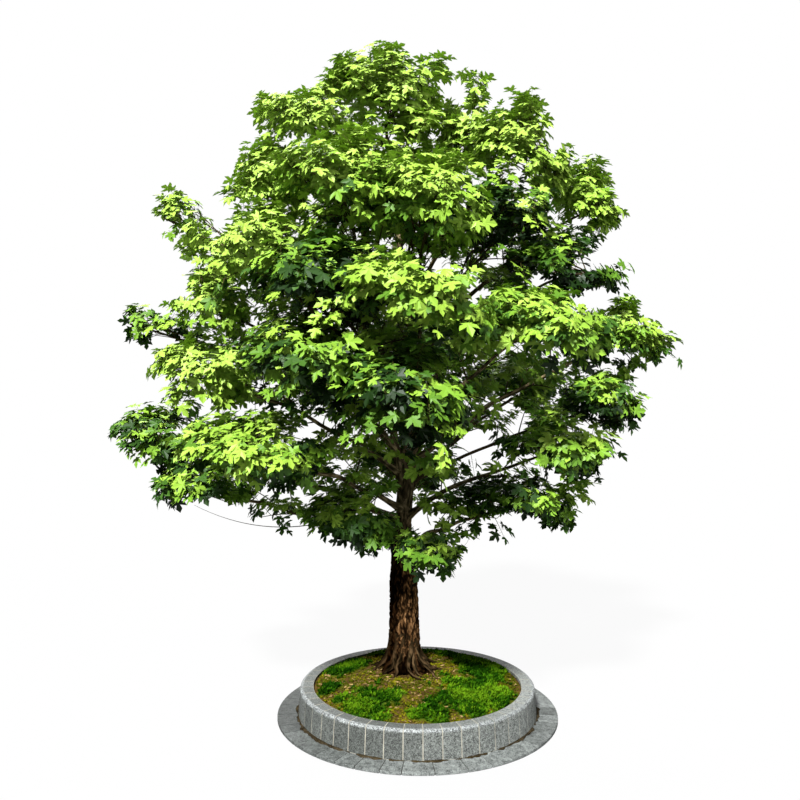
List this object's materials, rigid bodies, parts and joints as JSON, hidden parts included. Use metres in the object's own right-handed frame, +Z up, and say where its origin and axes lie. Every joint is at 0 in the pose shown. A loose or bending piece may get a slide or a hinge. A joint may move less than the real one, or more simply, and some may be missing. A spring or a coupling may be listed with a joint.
{
  "type": "plane tree",
  "caption": "Young plane tree with a low forked trunk, spreading boughs and open tiers of lobed leaves, standing in a round stone planter of kerb stones filled with earth.",
  "frame": {"origin": "centre of the planter's flat underside, on the ground", "axes": "+Z up, -Y towards the viewer of the picture, +X to the viewer's right; metres in the packed row"},
  "size_m": [6.0443, 5.256, 7.0199],
  "materials": {
    "bark": "rough fissured dark brown bark",
    "young_bark": "smoother olive grey-brown bark of the limbs",
    "foliage": "bright green leaves with a slight sheen",
    "granite": "dressed grey granite with pale joints",
    "paving": "worn grey paving slabs",
    "soil": "earth with moss and leaf litter"
  },
  "bodies": {
    "root": {"planter_plinth": "paving", "planter_kerb": "granite", "planter_soil": "soil", "trunk": "bark", "bough_left_leader": "young_bark", "bough_upper_right": "young_bark", "bough_right_shoulder": "young_bark", "bough_left_shoulder": "young_bark", "bough_right_mid": "young_bark", "bough_left_mid": "young_bark", "bough_front_centre": "young_bark", "bough_front_right_plate": "young_bark", "bough_right_tip": "young_bark", "bough_left_low_mid": "young_bark", "bough_front_left_low": "young_bark", "bough_far_left_low": "young_bark", "bough_left_low_plate": "young_bark", "bough_left_low_fringe": "young_bark", "bough_right_low_plate": "young_bark", "bough_right_low_fringe": "young_bark", "bough_back_right_high": "young_bark", "bough_back_left_low": "young_bark", "bough_back_right_low": "young_bark", "foliage_top_peak": "foliage", "foliage_top_left": "foliage", "foliage_top_right": "foliage", "foliage_upper_right": "foliage", "foliage_right_shoulder": "foliage", "foliage_left_shoulder": "foliage", "foliage_front_upper_left": "foliage", "foliage_front_upper_right": "foliage", "foliage_right_mid": "foliage", "foliage_right_inner": "foliage", "foliage_left_plate": "foliage", "foliage_left_mid": "foliage", "foliage_left_high_spray": "foliage", "foliage_front_left_mid": "foliage", "foliage_front_centre": "foliage", "foliage_front_right_plate": "foliage", "foliage_right_tip": "foliage", "foliage_right_low_mid": "foliage", "foliage_left_low_mid": "foliage", "foliage_left_spray": "foliage", "foliage_front_left_low": "foliage", "foliage_front_low_centre": "foliage", "foliage_far_left_low": "foliage", "foliage_left_low_plate": "foliage", "foliage_left_low_fringe": "foliage", "foliage_bottom_left": "foliage", "foliage_bottom_clump": "foliage", "foliage_right_low_plate": "foliage", "foliage_right_low_fringe": "foliage", "foliage_back_top": "foliage", "foliage_back_left_high": "foliage", "foliage_back_right_high": "foliage", "foliage_back_mid": "foliage", "foliage_back_left_low": "foliage", "foliage_back_right_low": "foliage", "foliage_back_low": "foliage"}
  },
  "joints": []
}
